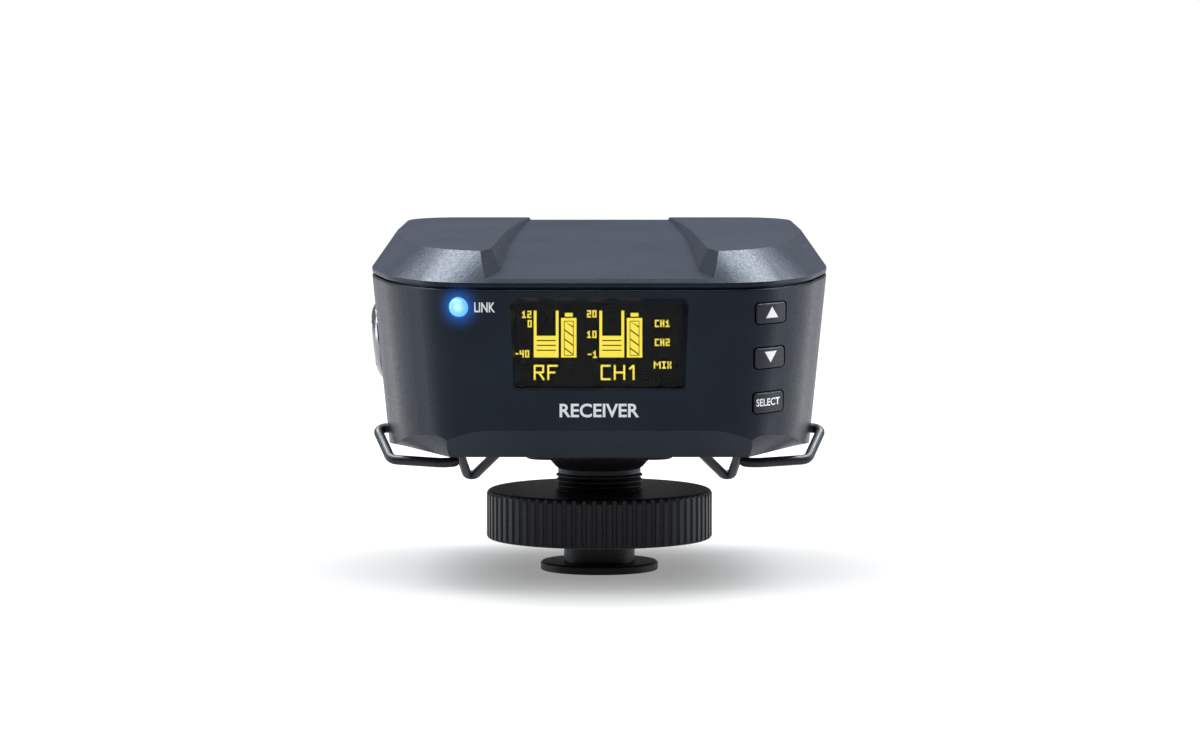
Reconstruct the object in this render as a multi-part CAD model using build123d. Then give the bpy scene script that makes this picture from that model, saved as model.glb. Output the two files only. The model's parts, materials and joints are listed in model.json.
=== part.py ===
"""Camera-mount wireless audio receiver, modelled as it comes apart on a bench.

Millimetres. The origin is the centre of the accessory-shoe foot's underside.
+Z is up, -Y is the front, where the display is, and +X is the viewer's right.
"""
from build123d import *
import math
import os

os.makedirs("parts", exist_ok=True)

# ---------------------------------------------------------------- case
# Right half of the case's plan at the seam, front to rear: (x, y, corner radius).
CASE_PLAN = [
    (19.7, -42.1, 14.0), (25.5, -39.0, 11.0), (31.6, -29.6, 25.0), (35.05, -12.0, 50.0), (33.6, 41.0, 11.5),
]
# The same for the outer edge of the raised pads on top.
PAD_PLAN = [
    (16.5, -38.8, 12.0), (22.5, -34.0, 18.0), (27.0, -27.0, 23.0), (31.7, 4.0, 70.0), (30.0, 37.3, 8.0),
]
BOTTOM_Z = 20.8            # underside of the case
SEAM_Z = 46.7              # top edge of the lower housing
COVER_Z = 47.0             # bottom edge of the top cover
BAND_Z = 47.7              # top of the cover's upright band
PAD_Z = 52.2               # top of the two raised pads
WALL = 1.8                 # case wall
ROOF = 1.4                 # thickness of the cover's top
BODY_TAPER = 5.7           # the walls lean in towards the bottom, degrees
SEAM_ROUND = 0.3           # rounding of both edges at the seam
CREASE_ROUND = 0.25        # rounding of the pads' edges

TONGUE_OUT = 0.9           # the tongue's outer face, in from the case's face
TONGUE_Z = 47.3            # top of the tongue inside the cover
FIT = 0.1                  # gap between parts that are assembled face to face

# The lowered saddle between the pads: (half width, y) along a pad's inner edge.
PAD_EDGE = [(9.8, 46.0), (11.8, 33.0), (14.4, 8.0), (15.3, -8.0), (16.4, -31.0)]
PAD_NOSE = [(18.1, -38.5), (19.9, -46.5)]
SADDLE_FRONT_Z = 48.4      # saddle floor at the front
SADDLE_REAR_Z = 51.8       # saddle floor at the back
SADDLE_FRONT_Y = -40.0
SADDLE_REAR_Y = 38.0
SADDLE_WALL_ANGLE = 24.0   # the saddle's side walls, degrees from upright

# The bottom edge is cut back at the front, the rear and the two front corners.
CHAMFER_Y = 34.0           # where the front cut meets the underside
CHAMFER_RUN = 5.9
CHAMFER_RISE = 4.5
CUT_NEAR = (22.6, 33.8)    # where a corner cut leaves the front cut
CUT_FAR = (31.2, 13.3)     # where a corner cut runs out at the side wall
# Rise over run of a corner cut, by the distance past its near end.
CUT_SLOPES = [(-5.0, 2.9), (-1.0, 1.22), (5.0, 0.78), (12.0, 0.455), (24.0, 0.19)]
CUT_REACH = 12.0

# ---------------------------------------------------------------- display
WINDOW_X = 0.0
WINDOW_Z = 38.2
WINDOW_W = 25.1
WINDOW_H = 12.8
WINDOW_Y = -39.9           # outer face of the window
WINDOW_T = 1.0
WINDOW_EDGE = 0.8          # how far the window reaches behind the wall
WINDOW_R = 0.5             # corner radius of the opening
FRAME_W = WINDOW_W + 5.0   # thickened wall around the window
FRAME_H = WINDOW_H + 3.6
FRAME_BACK_Y = WINDOW_Y + 2.2
RECESS_ANGLE = 22.0        # flare of the recess around the window, degrees
RECESS_DEPTH = 3.0
PANEL_EDGE = 0.6
PANEL_T = 1.5
PANEL_Y = WINDOW_Y + WINDOW_T + 0.15  # front of the display module, just clear of the window
PANEL_BACK_Y = PANEL_Y + PANEL_T
HOLDER_WALL = 1.5
FLEX_W = 10.0
FLEX_T = 0.15
FLEX_DROP = 3.0            # height of the flat cable's rise at both ends
FLEX_RUN = 1.4             # how far back that rise leans
FLEX_BEND = 0.8

# ---------------------------------------------------------------- buttons and status light
# Centre of each button's cap in the front right corner: (x, z).
BUTTONS = {"button_up": (25.7, 42.9), "button_down": (25.5, 36.1), "button_enter": (25.35, 29.3)}
BUTTON_W = 4.5
BUTTON_H = 3.05
BUTTON_R = 0.5
BUTTON_ROUND = 0.2
BUTTON_PROUD = 0.35
BUTTON_GAP = 0.2
BUTTON_TRAVEL = 0.4
BUTTON_SKIN = 1.4          # how thick a cap is behind the wall
BUTTON_BACK_Y = -31.2      # how far back a key cap reaches
FLANGE = 0.6
STEM_X = 24.9              # stems and switches stand a little nearer the middle
STEM_R = 1.1
SWITCH_TOP_Y = -30.2
SWITCH_HALF = 1.8
SWITCH_CASE_T = 1.2
PLUNGER_R = 0.9

FRONT_CUT_Y = -29.2        # openings for the buttons end here

LED_X = -21.15
LED_Y = -41.05             # on the wall
LED_Z = 44.05
LED_R = 1.5
LED_TURN = 28.0            # the light faces outward by this much, degrees
LED_SINK = 0.35            # centre of the dome, behind the wall's face
LED_BODY = 4.2
LED_FLANGE_R = 1.9
LED_FLANGE_T = 0.8
LED_LEG_X = 0.7
LED_LEG_T = 0.4
LED_LEG = 2.2

# ---------------------------------------------------------------- boards and what stands on them
FRONT_BOARD_Y = -28.5
FRONT_BOARD_T = 1.2
FRONT_BOARD_HALF = 26.6
FRONT_BOARD_ZS = (27.6, 45.6)
MAIN_BOARD_Z = 29.4
MAIN_BOARD_T = 1.6
MAIN_BOARD_HALF = 22.2
MAIN_BOARD_FRONT = -26.7
MAIN_BOARD_REAR = 36.6
BOARD_TOP = MAIN_BOARD_Z + MAIN_BOARD_T
CONNECTOR_HALF = 8.0
CONNECTOR_H = 2.6
CONNECTOR_REACH = 3.0      # onto the main board
SHIELD_LOW = (-11.0, -22.5)
SHIELD_HIGH = (13.0, -9.5)
SHIELD_H = 2.6
SHIELD_T = 0.3
CELL_LOW = (-14.5, -7.5)
CELL_HIGH = (15.5, 24.5)
CELL_H = 6.4
CELL_ROUND = 2.4
CELL_PAD_T = 0.6
CELL_PAD_INSET = 4.0
AERIAL_X = 21.0            # inner face of an aerial's blade
AERIAL_T = 0.4
AERIAL_YS = (4.0, 22.0)
AERIAL_FOOT = 2.5
AERIAL_TOP = 48.6
AERIAL_STEP = 4.0          # spacing of the slots in a blade
AERIAL_SLOT = 1.0
AERIAL_WEB = 3.0           # what each slot leaves standing at one end

# ---------------------------------------------------------------- output jack in the left wall
JACK_X = -33.7             # on the wall's outer face
JACK_Y = -2.5
JACK_Z = 35.8
JACK_BORE_R = 1.8
JACK_BORE_DEPTH = 15.0
JACK_BARREL_R = 3.0
JACK_BARREL_OUT = 1.05     # the barrel's end stands this far out of the wall
JACK_BARREL_IN = 7.0
JACK_NUT_R = 5.85
JACK_NUT_SINK = 0.9        # the nut's seat, sunk in the wall
JACK_NUT_EDGE = 0.3        # rim height outside the wall
JACK_NUT_TOP = 1.15        # height of the domed face at the barrel
JACK_NUT_MIDDLE = 0.92     # height of the dome two thirds of the way out
JACK_GROOVE = 0.45
JACK_GROOVE_HEIGHTS = (-0.1, 0.15)
JACK_KEY_R = 0.35          # holes that a spanner's pins fit
JACK_KEYS = 4
JACK_BODY_XS = (-29.0, -16.5)
JACK_BODY_HALF = 4.6

# ---------------------------------------------------------------- rear wall
USB_X = -12.0
USB_W = 8.9
USB_H = 3.2
USB_Z = BOARD_TOP + USB_H / 2
USB_YS = (31.6, 39.2)
USB_R = 1.5
USB_SKIN = 0.3
USB_BACK_T = 1.0
USB_TONGUE_W = 6.6
USB_TONGUE_T = 0.7
POWER_X = 12.0
POWER_Z = BOARD_TOP + 2.0
POWER_TRAVEL = 3.0
POWER_CASE_HALF = 5.0
POWER_CASE_YS = (30.6, 35.4)
POWER_CASE_H = 4.0
POWER_ROOM_HALF = 3.9
POWER_ROOM_RISE = 1.1
KNOB_W = 3.4
KNOB_H = 2.4
KNOB_YS = (36.2, 40.0)
KNOB_RIB = 0.36            # width and depth of the grooves across the knob
KNOB_RIB_PITCH = 0.9
KNOB_FOOT_HALF = 1.6
KNOB_FOOT_RISE = 0.8
KNOB_FOOT_Y = POWER_CASE_YS[0] + WALL + 0.4
REAR_CUT_Y = 36.0          # openings in the rear wall start here

# ---------------------------------------------------------------- fasteners
BOSS_SPLIT_Z = 27.2        # where a housing boss meets a cover boss
HOUSING_BOSS_R = 2.9
COVER_BOSS_R = 2.3
BOARD_BOSS_R = 2.2
SCREW_R = 1.1
SCREW_HEAD_R = 2.1
SCREW_HEAD_T = 1.5
SCREW_SEAT_Z = 23.4
SCREW_END_Z = 33.6
BOARD_SCREW_R = 0.8
BOARD_SCREW_HEAD_R = 1.5
BOARD_SCREW_HEAD_T = 1.0
BOARD_SCREW_L = 6.0
DRIVE_SLOT = 0.4
DRIVE_SHARE = 0.6          # reach of the cross slot, as a share of the head's radius
SCREW_SPARE = 1.6          # depth of a pilot hole past its screw's end
BOSS_ROOT_Z = BOTTOM_Z + 0.5
CASE_SCREWS = [(x, y) for x in (-25.0, 25.0) for y in (-20.0, 20.0)]
BOARD_SCREWS = [(x, y) for x in (-19.0, 19.0) for y in (-21.0, 26.5)]

# ---------------------------------------------------------------- shoe post, lock nut and washer
FOOT_R = 9.1
FOOT_T = 1.3
FOOT_EDGE_LOW = 0.1
FOOT_EDGE_HIGH = 0.25
NECK_R = 5.5
THREAD_R = 6.7
THREAD_DEPTH = 0.42
THREAD_PITCH = 0.75
THREAD_RINGS = 9
CREST = (0.42, 0.58)       # start and end of a thread's flat crest, as shares of the pitch
THREAD_HIGH = 15.1
THREAD_LOW = THREAD_HIGH - THREAD_RINGS * THREAD_PITCH
SPIGOT_R = 4.0
SPIGOT_Z = BOTTOM_Z + 5.6
NUT_R = 17.5
NUT_LOW = 4.9
NUT_HIGH = 12.5
NUT_EDGE_HIGH = 0.8
NUT_EDGE_LOW = 0.6
RIBS = 70
GROOVE_R = 0.42
GROOVE_OUT = 0.12          # the grooves' centres, outside the rim
WASHER_R = 10.5
WASHER_T = 1.1
RUNNING = 0.05             # radial clearance of a running fit
# Outline of the collar under the case: (radius, z), from the thread up.
COLLAR = [(6.4, THREAD_HIGH), (6.4, 15.8), (6.8, 16.1), (7.8, 17.2), (8.6, 18.6), (8.8, BOTTOM_Z)]
POST_NUT_R = 6.5
POST_NUT_T = 3.2

# ---------------------------------------------------------------- belt clip, one bent spring wire
WIRE_R = 0.75
CLIP_HOLE_X = 28.0         # inner end of the holes for the wire
CLIP_PIVOT_Y = -12.0
CLIP_PIVOT_Z = 23.1
# Corners of the right half of the wire, from its pivot end: (point, bend radius).
CLIP_PATH = [
    ((29.3, CLIP_PIVOT_Y, CLIP_PIVOT_Z), None),
    ((34.2, CLIP_PIVOT_Y, CLIP_PIVOT_Z), 1.2),
    ((31.8, -19.5, 19.0), 2.4),
    ((21.9, -25.0, 18.9), 2.0),
    ((23.4, 27.0, 19.0), 3.0),
    ((20.9, 38.6, 9.8), 0.85),
    ((12.4, 27.0, 19.1), 3.0),
    ((10.6, -14.0, 19.1), 2.5),
]

REACH = 60.0               # longer than the case in any direction
CUT = 1.0                  # how far a cutting tool runs past the face that it opens
OVERLAP = 0.1              # how far pieces of one part run into each other


# ---------------------------------------------------------------- helpers
def block(low, high):
    """A box between two corners."""
    size = [top - bottom for bottom, top in zip(low, high)]
    centre = [(bottom + top) / 2 for bottom, top in zip(low, high)]
    return Pos(*centre) * Box(*size)


def rod(start, end, radius):
    """A cylinder between two points."""
    path = Vector(*end) - Vector(*start)
    return extrude(Plane(origin=start, z_dir=path) * Circle(radius), amount=path.length)


def prism_y(x, z, width, height, radius, y_front, y_back):
    """A rounded bar that runs along Y."""
    plane = Plane(origin=(x, y_back, z), x_dir=(1, 0, 0), z_dir=(0, -1, 0))
    return extrude(plane * RectangleRounded(width, height, radius), amount=y_back - y_front)


def mirrored(shape):
    """The shape and its mirror image across the YZ plane."""
    return shape + mirror(shape, about=Plane.YZ)


def slab_x(points):
    """A (y, z) outline, carried right across the case along X."""
    face = Plane.YZ * make_face(Polyline(*points, close=True))
    return extrude(face, amount=REACH, both=True)


# ---------------------------------------------------------------- case outline
def planform(plan, inset=0.0):
    """A rounded plan outline, moved in by inset."""
    right = [(x, y) for x, y, _ in plan]
    left = [(-x, y) for x, y in reversed(right)]
    face = make_face(Polyline(*right, *left, close=True))
    for _, corner_y, radius in plan:
        at_corner = [v for v in face.vertices() if abs(v.Y - corner_y) < 1e-6]
        face = fillet(at_corner, radius)
    if inset:
        face = offset(face, amount=-inset)
    return face


def lean_in(z):
    """How far the leaning wall stands in from the seam's outline at a height."""
    return (SEAM_Z - z) * math.tan(math.radians(BODY_TAPER))


def body_block(inset, z_low, z_high):
    """The leaning body between two heights, with its faces moved in by inset."""
    top = Pos(0, 0, z_high) * planform(CASE_PLAN, inset + lean_in(z_high))
    return extrude(top, amount=z_low - z_high, taper=BODY_TAPER)


def front_cutter():
    """What the front cut along the bottom edge takes away."""
    scale = 3.0
    outer_y = -CHAMFER_Y - scale * CHAMFER_RUN
    return slab_x([
        (-CHAMFER_Y, BOTTOM_Z),
        (outer_y, BOTTOM_Z + scale * CHAMFER_RISE),
        (outer_y, BOTTOM_Z - WALL * 2),
        (-CHAMFER_Y, BOTTOM_Z - WALL * 2),
    ])


def corner_cutter():
    """What the twisted cut at the front right bottom corner takes away."""
    near = Vector(CUT_NEAR[0], -CUT_NEAR[1], BOTTOM_Z)
    far = Vector(CUT_FAR[0], -CUT_FAR[1], BOTTOM_Z)
    along = (far - near).normalized()
    outward = along.cross(Vector(0, 0, 1))
    down = Vector(0, 0, -WALL * 2)
    sections = []
    for travel, slope in CUT_SLOPES:
        base = near + along * travel
        edge = base + outward * CUT_REACH
        raised = edge + Vector(0, 0, CUT_REACH * slope)
        sections.append(make_face(Polyline(base, raised, edge + down, base + down, close=True)))
    return loft(sections)


def bottom_cutters():
    """All the cuts along the bottom edge; the rear one runs straight across."""
    front = front_cutter()
    return front + mirrored(corner_cutter()) + mirror(front, about=Plane.XZ)


# ---------------------------------------------------------------- top cover
def saddle_floor(y):
    """Height of the saddle's sloping floor."""
    slope = (SADDLE_REAR_Z - SADDLE_FRONT_Z) / (SADDLE_REAR_Y - SADDLE_FRONT_Y)
    return SADDLE_FRONT_Z + slope * (y - SADDLE_FRONT_Y)


def saddle_section(z, grow):
    """Plan of the saddle at a height; it widens upward."""
    spread = (z - PAD_Z) * math.tan(math.radians(SADDLE_WALL_ANGLE)) + grow
    edge = [(x + spread, y) for x, y in PAD_EDGE]
    nose = [(x + spread, y) for x, y in PAD_NOSE]
    edge_left = [(-x, y) for x, y in edge]
    nose_left = [(-x, y) for x, y in nose]
    outline = Spline(*edge) + Polyline(edge[-1], *nose, *reversed(nose_left), edge_left[-1])
    outline += Spline(*reversed(edge_left)) + Line(edge_left[0], edge[0])
    return Pos(0, 0, z) * make_face(outline)


def saddle_cutter(grow=0.0, drop=0.0):
    """What the saddle takes out of the cover."""
    trough = loft([saddle_section(z, grow) for z in (SEAM_Z - WALL, PAD_Z + WALL)], ruled=True)
    above_floor = slab_x([
        (-REACH, saddle_floor(-REACH) - drop),
        (REACH, saddle_floor(REACH) - drop),
        (REACH, PAD_Z + REACH),
        (-REACH, PAD_Z + REACH),
    ])
    return trough & above_floor


def cover_form(inset, z_low, z_high):
    """Band and bevel of the cover between two heights, with their faces moved in by inset."""
    band = extrude(Pos(0, 0, z_low) * planform(CASE_PLAN, inset), amount=BAND_Z - z_low)
    foot = Pos(0, 0, BAND_Z) * planform(CASE_PLAN, inset)
    bevel = loft([foot, Pos(0, 0, PAD_Z) * planform(PAD_PLAN, inset)], ruled=True)
    return (band + bevel) & block((-REACH, -REACH, z_low), (REACH, REACH, z_high))


def top_cover():
    """Shell with two raised pads, and four bosses that reach down for the case screws."""
    outer = cover_form(0.0, COVER_Z, PAD_Z) - saddle_cutter()
    outer = fillet(outer.edges().group_by(Axis.Z)[0], SEAM_ROUND)
    pad_edges = [e for e in outer.edges() if abs(e.center().Z - PAD_Z) < 0.01]
    outer = fillet(pad_edges, CREASE_ROUND)
    inner = cover_form(WALL, COVER_Z - CUT, PAD_Z - ROOF) - saddle_cutter(grow=ROOF, drop=ROOF)
    tongue_plan = planform(CASE_PLAN, TONGUE_OUT - FIT)
    tongue_room = extrude(Pos(0, 0, COVER_Z - CUT) * tongue_plan, amount=TONGUE_Z + FIT - COVER_Z + CUT)
    shell = outer - inner - tongue_room
    within = cover_form(WALL / 2, BOSS_SPLIT_Z, PAD_Z)
    for x, y in CASE_SCREWS:
        shell += rod((x, y, BOSS_SPLIT_Z + FIT), (x, y, PAD_Z - ROOF), COVER_BOSS_R) & within
    for x, y in CASE_SCREWS:
        shell -= rod((x, y, BOSS_SPLIT_Z - CUT), (x, y, SCREW_END_Z + SCREW_SPARE), SCREW_R)
    return shell


# ---------------------------------------------------------------- lower housing
def display_opening():
    """The window's opening, its flared recess, and the seat behind the wall."""
    plane = Plane(origin=(WINDOW_X, WINDOW_Y, WINDOW_Z), x_dir=(1, 0, 0), z_dir=(0, -1, 0))
    face = plane * RectangleRounded(WINDOW_W, WINDOW_H, WINDOW_R)
    flare = extrude(face, amount=RECESS_DEPTH, taper=-RECESS_ANGLE)
    reach = 2 * (WINDOW_EDGE + FIT)
    seat = prism_y(
        WINDOW_X, WINDOW_Z, WINDOW_W + reach, WINDOW_H + reach, WINDOW_R + FIT, WINDOW_Y, FRONT_BOARD_Y
    )
    return flare + seat


def led_plane():
    """Plane on the wall at the status light, facing outward."""
    turn = math.radians(LED_TURN)
    outward = (-math.sin(turn), -math.cos(turn), 0)
    across = (math.cos(turn), -math.sin(turn), 0)
    return Plane(origin=(LED_X, LED_Y, LED_Z), x_dir=across, z_dir=outward)


def jack_plane():
    """Plane on the leaning left wall at the output jack, facing outward."""
    lean = math.radians(BODY_TAPER)
    outward = (-math.cos(lean), 0, -math.sin(lean))
    return Plane(origin=(JACK_X, JACK_Y, JACK_Z), x_dir=(0, 1, 0), z_dir=outward)


def jack_rod(low, high, radius):
    """Cylinder on the jack's axis between two heights above the wall."""
    return extrude(jack_plane().offset(low) * Circle(radius), amount=high - low)


def wall_openings():
    """Holes for the buttons, the light, the jack, the charging socket, the power switch and the clip."""
    holes = Part()
    for x, z in BUTTONS.values():
        holes += prism_y(
            x, z, BUTTON_W + 2 * BUTTON_GAP, BUTTON_H + 2 * BUTTON_GAP,
            BUTTON_R + BUTTON_GAP, -REACH, FRONT_CUT_Y,
        )
    holes += extrude(led_plane() * Circle(LED_R + RUNNING), amount=2 * WALL, both=True)
    holes += jack_rod(-JACK_BARREL_IN / 2, WALL, JACK_BARREL_R + RUNNING)
    holes += jack_rod(-JACK_NUT_SINK, WALL, JACK_NUT_R + FIT)
    gap = 2 * BUTTON_GAP
    holes += prism_y(USB_X, USB_Z, USB_W + gap, USB_H + gap, USB_R + BUTTON_GAP, REAR_CUT_Y, REACH)
    holes += prism_y(
        POWER_X, POWER_Z, KNOB_W + POWER_TRAVEL + gap, KNOB_H + gap, BUTTON_R, REAR_CUT_Y, REACH
    )
    for side in (-1, 1):
        inside = (side * CLIP_HOLE_X, CLIP_PIVOT_Y, CLIP_PIVOT_Z)
        holes += rod(inside, (side * REACH, CLIP_PIVOT_Y, CLIP_PIVOT_Z), WIRE_R + RUNNING)
    return holes


def lower_housing():
    """Tub with a tongue, bosses, and the openings in its walls and floor."""
    cutters = bottom_cutters()
    outer = body_block(0.0, BOTTOM_Z, SEAM_Z)
    outer = fillet(outer.edges().group_by(Axis.Z)[-1], SEAM_ROUND) - cutters
    tongue = extrude(Pos(0, 0, SEAM_Z) * planform(CASE_PLAN, TONGUE_OUT), amount=TONGUE_Z - SEAM_Z)
    inner_low = body_block(WALL, BOTTOM_Z + WALL, SEAM_Z) - Pos(0, 0, WALL * 1.1) * cutters
    tongue_room = Pos(0, 0, SEAM_Z - OVERLAP) * planform(CASE_PLAN, WALL)
    inner_top = extrude(tongue_room, amount=TONGUE_Z + CUT - SEAM_Z)
    frame = prism_y(WINDOW_X, WINDOW_Z, FRAME_W, FRAME_H, 2 * WINDOW_R, -REACH, FRAME_BACK_Y)
    frame &= body_block(WALL / 2, BOTTOM_Z, SEAM_Z)
    shell = outer + tongue - inner_low - inner_top + frame
    within = body_block(WALL / 2, BOTTOM_Z, SEAM_Z)
    for x, y in CASE_SCREWS:
        shell += rod((x, y, BOSS_ROOT_Z), (x, y, BOSS_SPLIT_Z), HOUSING_BOSS_R) & within
    for x, y in BOARD_SCREWS:
        shell += rod((x, y, BOSS_ROOT_Z), (x, y, MAIN_BOARD_Z), BOARD_BOSS_R) & within
    shell -= display_opening() + wall_openings()
    shell -= rod((0, 0, BOTTOM_Z - CUT), (0, 0, BOTTOM_Z + 2 * WALL), SPIGOT_R + RUNNING)
    for x, y in CASE_SCREWS:
        shell -= rod((x, y, BOTTOM_Z - CUT), (x, y, SCREW_SEAT_Z), SCREW_HEAD_R + FIT)
        shell -= rod((x, y, BOTTOM_Z - CUT), (x, y, BOSS_SPLIT_Z + CUT), SCREW_R + FIT)
    for x, y in BOARD_SCREWS:
        shell -= rod((x, y, BOTTOM_Z + WALL), (x, y, MAIN_BOARD_Z + CUT), BOARD_SCREW_R)
    return shell


# ---------------------------------------------------------------- display
def display_window():
    """Clear plate behind the opening."""
    reach = 2 * WINDOW_EDGE
    return prism_y(
        WINDOW_X, WINDOW_Z, WINDOW_W + reach, WINDOW_H + reach, WINDOW_R, WINDOW_Y, WINDOW_Y + WINDOW_T
    )


def display_panel():
    """Light-emitting display module, right behind the window."""
    reach = 2 * PANEL_EDGE
    return prism_y(
        WINDOW_X, WINDOW_Z, WINDOW_W + reach, WINDOW_H + reach, WINDOW_R / 2, PANEL_Y, PANEL_BACK_Y
    )


def display_holder():
    """Open frame that holds the display off the front board."""
    reach = 2 * PANEL_EDGE
    width, height = WINDOW_W + reach, WINDOW_H + reach
    outer = prism_y(WINDOW_X, WINDOW_Z, width, height, 2 * WINDOW_R, PANEL_BACK_Y, FRONT_BOARD_Y)
    inner = prism_y(
        WINDOW_X, WINDOW_Z, width - 2 * HOLDER_WALL, height - 2 * HOLDER_WALL,
        WINDOW_R, PANEL_BACK_Y - CUT, FRONT_BOARD_Y + CUT,
    )
    slot_low = (WINDOW_X - FLEX_W, PANEL_BACK_Y + HOLDER_WALL, WINDOW_Z - WINDOW_H)
    slot_high = (WINDOW_X + FLEX_W, FRONT_BOARD_Y - HOLDER_WALL, WINDOW_Z)
    return outer - inner - block(slot_low, slot_high)


def display_flex():
    """Flat cable from the foot of the display, back through the holder to the front board."""
    low = WINDOW_Z - WINDOW_H / 2 + HOLDER_WALL
    route = FilletPolyline(
        (WINDOW_X, PANEL_BACK_Y + FLEX_T, low + FLEX_DROP), (WINDOW_X, PANEL_BACK_Y + FLEX_RUN, low),
        (WINDOW_X, FRONT_BOARD_Y - FLEX_RUN, low), (WINDOW_X, FRONT_BOARD_Y - FLEX_T, low + FLEX_DROP),
        radius=FLEX_BEND,
    )
    line = Wire(route.edges())
    section = Plane(origin=line @ 0, x_dir=(1, 0, 0), z_dir=line % 0) * Rectangle(FLEX_W, FLEX_T)
    return sweep(section, path=line)


# ---------------------------------------------------------------- light, buttons and switches
def pair_led():
    """Three-millimetre dome light with its flange and two legs."""
    down = (Align.CENTER, Align.CENTER, Align.MAX)
    light = Cylinder(LED_R, LED_BODY, align=down) + Sphere(LED_R)
    light += Pos(0, 0, LED_FLANGE_T - LED_BODY) * Cylinder(LED_FLANGE_R, LED_FLANGE_T, align=down)
    for x in (-LED_LEG_X, LED_LEG_X):
        light += Pos(x, 0, LED_LEG_T - LED_BODY) * Box(LED_LEG_T, LED_LEG_T, LED_LEG, align=down)
    return led_plane().location * Pos(0, 0, -LED_SINK) * light


def on_rim(edge, x, z):
    """Whether an edge of a key cap runs round its front face."""
    middle = edge.center()
    near_side = abs(middle.X - x) > BUTTON_W / 2 - BUTTON_R
    near_top = abs(middle.Z - z) > BUTTON_H / 2 - BUTTON_R
    runs_back = abs(edge.tangent_at(0.5).Y) > 0.95
    return middle.Y < BUTTON_BACK_Y - 1.0 and (near_side or near_top) and not runs_back


def button(x, z):
    """Key cap that follows the wall, with a flange behind it and a stem to its switch."""
    cap = prism_y(x, z, BUTTON_W, BUTTON_H, BUTTON_R, -REACH, BUTTON_BACK_Y)
    cap &= body_block(-BUTTON_PROUD, BOTTOM_Z, SEAM_Z)
    rim = cap.edges().filter_by(lambda e: on_rim(e, x, z))
    cap = fillet(rim, BUTTON_ROUND)
    reach = 2 * FLANGE
    flange = prism_y(x, z, BUTTON_W + reach, BUTTON_H + reach, BUTTON_R, -REACH, BUTTON_BACK_Y)
    flange &= body_block(WALL + BUTTON_GAP, BOTTOM_Z, SEAM_Z)
    hollow = body_block(WALL + BUTTON_SKIN, BOTTOM_Z, SEAM_Z)
    stem = rod((STEM_X, -REACH, z), (STEM_X, SWITCH_TOP_Y - BUTTON_TRAVEL - RUNNING, z), STEM_R)
    stem &= body_block(WALL / 2, BOTTOM_Z, SEAM_Z)
    return (cap + flange) - hollow + stem


def tact_switches():
    """Three tactile switches on the front board, one behind each button."""
    switches = Part()
    for _, z in BUTTONS.values():
        low = (STEM_X - SWITCH_HALF, FRONT_BOARD_Y - SWITCH_CASE_T, z - SWITCH_HALF)
        high = (STEM_X + SWITCH_HALF, FRONT_BOARD_Y, z + SWITCH_HALF)
        root = (STEM_X, FRONT_BOARD_Y - SWITCH_CASE_T / 2, z)
        switches += block(low, high) + rod((STEM_X, SWITCH_TOP_Y, z), root, PLUNGER_R)
    return switches


# ---------------------------------------------------------------- boards
def front_board():
    """Upright circuit board that carries the display, light and switches."""
    low = (-FRONT_BOARD_HALF, FRONT_BOARD_Y, FRONT_BOARD_ZS[0])
    high = (FRONT_BOARD_HALF, FRONT_BOARD_Y + FRONT_BOARD_T, FRONT_BOARD_ZS[1])
    return block(low, high)


def main_board():
    """Level circuit board on four bosses."""
    low = (-MAIN_BOARD_HALF, MAIN_BOARD_FRONT, MAIN_BOARD_Z)
    board = block(low, (MAIN_BOARD_HALF, MAIN_BOARD_REAR, BOARD_TOP))
    for x, y in BOARD_SCREWS:
        board -= rod((x, y, MAIN_BOARD_Z - CUT), (x, y, BOARD_TOP + CUT), BOARD_SCREW_R + FIT)
    return board


def board_connector():
    """Right-angle connector from the main board to the front board."""
    low = (-CONNECTOR_HALF, FRONT_BOARD_Y + FRONT_BOARD_T, BOARD_TOP)
    return block(low, (CONNECTOR_HALF, MAIN_BOARD_FRONT + CONNECTOR_REACH, BOARD_TOP + CONNECTOR_H))


def rf_shield():
    """Folded metal can over the radio circuit."""
    outer = block((*SHIELD_LOW, BOARD_TOP), (*SHIELD_HIGH, BOARD_TOP + SHIELD_H))
    inner_low = [edge + SHIELD_T for edge in SHIELD_LOW]
    inner_high = [edge - SHIELD_T for edge in SHIELD_HIGH]
    return outer - block((*inner_low, BOARD_TOP - CUT), (*inner_high, BOARD_TOP + SHIELD_H - SHIELD_T))


def antenna():
    """Right-hand aerial: a stamped, slotted blade that stands up into the hollow pad."""
    front, rear = AERIAL_YS
    outside = AERIAL_X + AERIAL_T
    foot = block((outside - AERIAL_FOOT, front, BOARD_TOP), (outside, rear, BOARD_TOP + AERIAL_T))
    aerial = foot + block((AERIAL_X, front, BOARD_TOP), (outside, rear, AERIAL_TOP))
    for step in range(1, 4):
        z = BOARD_TOP + step * AERIAL_STEP
        shift = AERIAL_WEB if step % 2 else -AERIAL_WEB
        aerial -= block(
            (AERIAL_X - CUT, front + shift, z), (outside + CUT, rear + shift, z + AERIAL_SLOT)
        )
    return aerial


def battery():
    """Flat rechargeable cell with rounded long edges."""
    low_z = BOARD_TOP + CELL_PAD_T
    cell = block((*CELL_LOW, low_z), (*CELL_HIGH, low_z + CELL_H))
    return fillet(cell.edges().filter_by(Axis.Y), CELL_ROUND)


def battery_pad():
    """Foam pad that the cell is stuck down with."""
    low = [edge + CELL_PAD_INSET for edge in CELL_LOW]
    high = [edge - CELL_PAD_INSET for edge in CELL_HIGH]
    return block((*low, BOARD_TOP), (*high, BOARD_TOP + CELL_PAD_T))


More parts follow.
